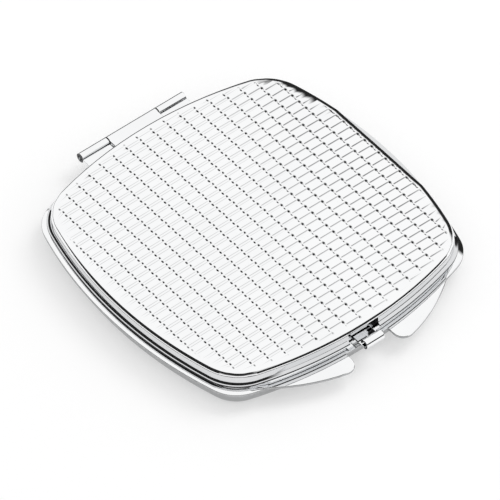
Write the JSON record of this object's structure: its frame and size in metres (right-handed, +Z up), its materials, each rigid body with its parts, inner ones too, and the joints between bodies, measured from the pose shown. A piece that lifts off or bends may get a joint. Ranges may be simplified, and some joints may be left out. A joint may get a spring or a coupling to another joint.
{
  "type": "compact mirror",
  "caption": "Square chrome pocket compact with a basket-weave embossed lid: a plain and a magnifying mirror in two shells joined by a barrel hinge, held shut by a rolled thumb catch.",
  "frame": {"origin": "on the flat underside that the closed compact rests on, under the middle of the lid plate", "axes": "+Z up out of the embossed lid, +Y from the catch at the front to the hinge at the back, +X along the hinge pin, to the right when the catch faces the viewer"},
  "size_m": [0.0646, 0.0714, 0.008],
  "materials": {
    "chrome": "bright polished chrome plate on stamped metal",
    "mirror_glass": "silvered glass",
    "foam_pad": "matte double-sided foam tape",
    "pin_steel": "drawn steel wire"
  },
  "bodies": {
    "base": {"base_pan": "chrome", "base_frame": "chrome", "base_mirror_pad": "foam_pad", "base_mirror": "mirror_glass", "base_bezel": "chrome", "hinge_leaf_base": "chrome", "hinge_pin": "pin_steel"},
    "lid": {"lid_plate": "chrome", "lid_frame": "chrome", "lid_mirror_pad": "foam_pad", "lid_mirror": "mirror_glass", "lid_bezel": "chrome", "hinge_leaf_lid": "chrome"},
    "catch": {"catch_strip": "chrome"}
  },
  "joints": [
    {"name": "lid_hinge", "type": "hinge", "parent": "base", "child": "lid", "pos_m": [0, 0.03438, 0.00432], "axis": [-1, 0, 0], "range_deg": [0, 180]},
    {"name": "catch_flex", "type": "hinge", "parent": "lid", "child": "catch", "pos_m": [0, -0.02895, 0.005], "axis": [-1, 0, 0], "range_deg": [0, 10], "stiffness_Nm_per_rad": 0.04}
  ]
}
